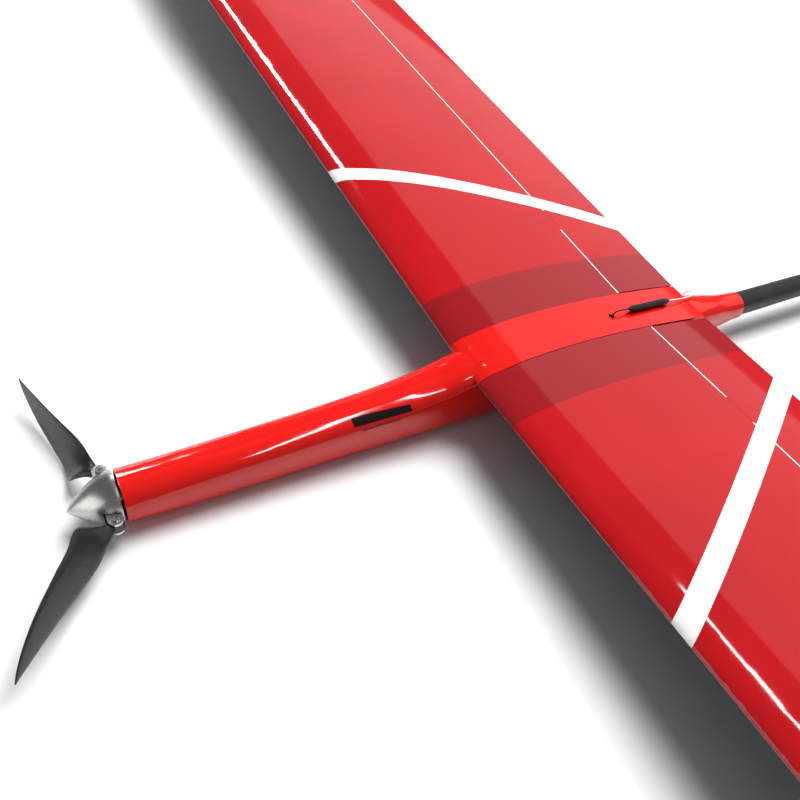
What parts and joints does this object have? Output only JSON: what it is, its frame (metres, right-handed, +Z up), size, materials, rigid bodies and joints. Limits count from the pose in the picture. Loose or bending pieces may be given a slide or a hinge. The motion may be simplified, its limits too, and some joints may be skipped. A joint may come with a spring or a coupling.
{
  "type": "rc glider",
  "caption": "Electric glider with a slim pod and boom, folding propeller, straight plug-in wing with flaps and ailerons, and a V-tail.",
  "frame": {"origin": "on the flat of the belly, on the centreline, below the leading edge of the wing root", "axes": "+Z up, nose towards -Y, tail towards +Y, +X towards the left (port) wing tip"},
  "size_m": [3, 1.4851, 0.2067],
  "materials": {
    "red_gelcoat_pod": "glossy moulded gelcoat",
    "red_gelcoat_wing": "glossy moulded gelcoat with white stripes",
    "red_gelcoat_tail": "glossy moulded gelcoat",
    "red_gelcoat_cover": "glossy thin laminate",
    "carbon_boom": "satin wrapped carbon tube",
    "moulded_carbon_blade": "matt moulded carbon",
    "turned_aluminium": "lathe-turned",
    "machined_aluminium": "machined",
    "milled_aluminium": "milled",
    "anodised_motor": "dark anodised",
    "plated_steel": "plated",
    "spring_steel": "drawn wire",
    "pultruded_carbon": "pultruded rod",
    "glass_laminate": "cut glass-fibre laminate",
    "balsa_spar": "plain balsa with carbon caps",
    "nylon": "moulded nylon",
    "servo_case": "moulded",
    "shrink_sleeve": "shrink sleeve",
    "battery_wrap": "shrink-wrapped cells",
    "receiver_case": "moulded",
    "aerial_wire": "thin insulated wire",
    "aerial_sleeve": "wound shrink sleeve"
  },
  "bodies": {
    "airframe": {"fuselage_pod": "red_gelcoat_pod", "battery_hatch": "red_gelcoat_pod", "hatch_screws": "plated_steel", "hatch_lugs": "glass_laminate", "tail_boom": "carbon_boom", "alignment_pins": "pultruded_carbon", "wing_joiner": "pultruded_carbon", "joiner_sleeves": "glass_laminate", "wing_left": "red_gelcoat_wing", "wing_right": "red_gelcoat_wing", "wing_spars": "balsa_spar", "wing_servos": "servo_case", "servo_covers": "red_gelcoat_cover", "v_tail_saddle": "red_gelcoat_pod", "v_tail_left": "red_gelcoat_tail", "v_tail_right": "red_gelcoat_tail", "v_tail_pins": "pultruded_carbon", "hinge_wires": "spring_steel", "hinge_lugs": "nylon", "motor_screws": "plated_steel", "motor_bulkhead": "glass_laminate", "motor_case": "anodised_motor", "speed_controller": "shrink_sleeve", "battery_pack": "battery_wrap", "receiver": "receiver_case", "servo_tray": "glass_laminate", "tail_servos": "servo_case", "aerial_wire": "aerial_wire", "aerial_sleeve": "aerial_sleeve"},
    "propeller": {"motor_shaft": "plated_steel", "spinner_cone": "turned_aluminium", "spinner_backplate": "machined_aluminium", "prop_yoke": "milled_aluminium", "blade_pins": "plated_steel"},
    "blade_left": {"blade_left": "moulded_carbon_blade"},
    "blade_right": {"blade_right": "moulded_carbon_blade"},
    "flap_left": {"flap_left": "red_gelcoat_wing", "flap_horn_left": "glass_laminate"},
    "flap_servo_arm_left": {"flap_servo_arm_left": "nylon"},
    "flap_pushrod_left": {"flap_pushrod_left": "spring_steel"},
    "flap_right": {"flap_right": "red_gelcoat_wing", "flap_horn_right": "glass_laminate"},
    "flap_servo_arm_right": {"flap_servo_arm_right": "nylon"},
    "flap_pushrod_right": {"flap_pushrod_right": "spring_steel"},
    "aileron_left": {"aileron_left": "red_gelcoat_wing", "aileron_horn_left": "glass_laminate"},
    "aileron_servo_arm_left": {"aileron_servo_arm_left": "nylon"},
    "aileron_pushrod_left": {"aileron_pushrod_left": "spring_steel"},
    "aileron_right": {"aileron_right": "red_gelcoat_wing", "aileron_horn_right": "glass_laminate"},
    "aileron_servo_arm_right": {"aileron_servo_arm_right": "nylon"},
    "aileron_pushrod_right": {"aileron_pushrod_right": "spring_steel"},
    "ruddervator_left": {"ruddervator_left": "red_gelcoat_tail"},
    "tail_pushrod_left": {"tail_pushrod_left": "pultruded_carbon"},
    "tail_servo_arm_left": {"tail_servo_arm_left": "nylon"},
    "ruddervator_right": {"ruddervator_right": "red_gelcoat_tail"},
    "tail_pushrod_right": {"tail_pushrod_right": "pultruded_carbon"},
    "tail_servo_arm_right": {"tail_servo_arm_right": "nylon"}
  },
  "joints": [
    {"name": "propeller_spin", "type": "hinge", "parent": "airframe", "child": "propeller", "pos_m": [0, -0.2764, 0.0195], "axis": [0, 1, 0], "continuous": true},
    {"name": "blade_fold_left", "type": "hinge", "parent": "propeller", "child": "blade_left", "pos_m": [0.021, -0.2764, 0.0195], "axis": [0, 0, 1], "range_deg": [-2.2, 122.8]},
    {"name": "blade_fold_right", "type": "hinge", "parent": "propeller", "child": "blade_right", "pos_m": [-0.021, -0.2764, 0.0195], "axis": [0, 0, -1], "range_deg": [-28.7, 96.3]},
    {"name": "flap_left", "type": "hinge", "parent": "airframe", "child": "flap_left", "pos_m": [0.33, 0.17342, 0.07253], "axis": [-0.9987, 0.006, -0.0504], "range_deg": [-5, 55]},
    {"name": "flap_servo_left", "type": "hinge", "parent": "airframe", "child": "flap_servo_arm_left", "pos_m": [0.33, 0.12342, 0.07253], "axis": [-0.9987, 0.006, -0.0504], "range_deg": [-6, 56]},
    {"name": "flap_rod_left", "type": "hinge", "parent": "flap_servo_arm_left", "child": "flap_pushrod_left", "pos_m": [0.33, 0.12807, 0.06256], "axis": [-0.9987, 0.006, -0.0504], "range_deg": [-56, 6]},
    {"name": "flap_right", "type": "hinge", "parent": "airframe", "child": "flap_right", "pos_m": [-0.33, 0.17342, 0.07253], "axis": [-0.9987, -0.006, 0.0504], "range_deg": [-5, 55]},
    {"name": "flap_servo_right", "type": "hinge", "parent": "airframe", "child": "flap_servo_arm_right", "pos_m": [-0.33, 0.12342, 0.07253], "axis": [-0.9987, -0.006, 0.0504], "range_deg": [-6, 56]},
    {"name": "flap_rod_right", "type": "hinge", "parent": "flap_servo_arm_right", "child": "flap_pushrod_right", "pos_m": [-0.33, 0.12807, 0.06256], "axis": [-0.9987, -0.006, 0.0504], "range_deg": [-56, 6]},
    {"name": "aileron_left", "type": "hinge", "parent": "airframe", "child": "aileron_left", "pos_m": [0.93, 0.16321, 0.10232], "axis": [-0.9981, 0.0373, -0.0481], "range_deg": [-25, 20]},
    {"name": "aileron_servo_left", "type": "hinge", "parent": "airframe", "child": "aileron_servo_arm_left", "pos_m": [0.93, 0.11321, 0.10232], "axis": [-0.9981, 0.0373, -0.0481], "range_deg": [-26, 21]},
    {"name": "aileron_rod_left", "type": "hinge", "parent": "aileron_servo_arm_left", "child": "aileron_pushrod_left", "pos_m": [0.93, 0.11786, 0.09235], "axis": [-0.9981, 0.0373, -0.0481], "range_deg": [-21, 26]},
    {"name": "aileron_right", "type": "hinge", "parent": "airframe", "child": "aileron_right", "pos_m": [-0.93, 0.16321, 0.10232], "axis": [-0.9981, -0.0373, 0.0481], "range_deg": [-25, 20]},
    {"name": "aileron_servo_right", "type": "hinge", "parent": "airframe", "child": "aileron_servo_arm_right", "pos_m": [-0.93, 0.11321, 0.10232], "axis": [-0.9981, -0.0373, 0.0481], "range_deg": [-26, 21]},
    {"name": "aileron_rod_right", "type": "hinge", "parent": "aileron_servo_arm_right", "child": "aileron_pushrod_right", "pos_m": [-0.93, 0.11786, 0.09235], "axis": [-0.9981, -0.0373, 0.0481], "range_deg": [-21, 26]},
    {"name": "ruddervator_left", "type": "hinge", "parent": "airframe", "child": "ruddervator_left", "pos_m": [0.01655, 1.08447, 0.04793], "axis": [-0.788, 0.0014, -0.6157], "range_deg": [-25, 25]},
    {"name": "tail_rod_left", "type": "slide", "parent": "airframe", "child": "tail_pushrod_left", "axis": [-0.0002, -1, 0.0071], "range_m": [-0.0036, 0.0036]},
    {"name": "tail_servo_left", "type": "hinge", "parent": "airframe", "child": "tail_servo_arm_left", "pos_m": [0.009, 0.008, 0.033], "axis": [0, 0, 1], "range_deg": [-26, 26]},
    {"name": "ruddervator_right", "type": "hinge", "parent": "airframe", "child": "ruddervator_right", "pos_m": [-0.01655, 1.08447, 0.04793], "axis": [-0.788, -0.0014, 0.6157], "range_deg": [-25, 25]},
    {"name": "tail_rod_right", "type": "slide", "parent": "airframe", "child": "tail_pushrod_right", "axis": [0.0002, -1, 0.0071], "range_m": [-0.0036, 0.0036]},
    {"name": "tail_servo_right", "type": "hinge", "parent": "airframe", "child": "tail_servo_arm_right", "pos_m": [-0.009, 0.008, 0.033], "axis": [0, 0, -1], "range_deg": [-26, 26]}
  ],
  "couplings": [
    {"joint": "flap_servo_left", "follows": "flap_left", "ratio": 1},
    {"joint": "flap_rod_left", "follows": "flap_left", "ratio": -1},
    {"joint": "flap_servo_right", "follows": "flap_right", "ratio": 1},
    {"joint": "flap_rod_right", "follows": "flap_right", "ratio": -1},
    {"joint": "aileron_servo_left", "follows": "aileron_left", "ratio": 1},
    {"joint": "aileron_rod_left", "follows": "aileron_left", "ratio": -1},
    {"joint": "aileron_servo_right", "follows": "aileron_right", "ratio": 1},
    {"joint": "aileron_rod_right", "follows": "aileron_right", "ratio": -1},
    {"joint": "tail_rod_left", "follows": "ruddervator_left", "m_per_rad": 0.008},
    {"joint": "tail_servo_left", "follows": "ruddervator_left", "ratio": 1},
    {"joint": "tail_rod_right", "follows": "ruddervator_right", "m_per_rad": 0.008},
    {"joint": "tail_servo_right", "follows": "ruddervator_right", "ratio": 1}
  ]
}
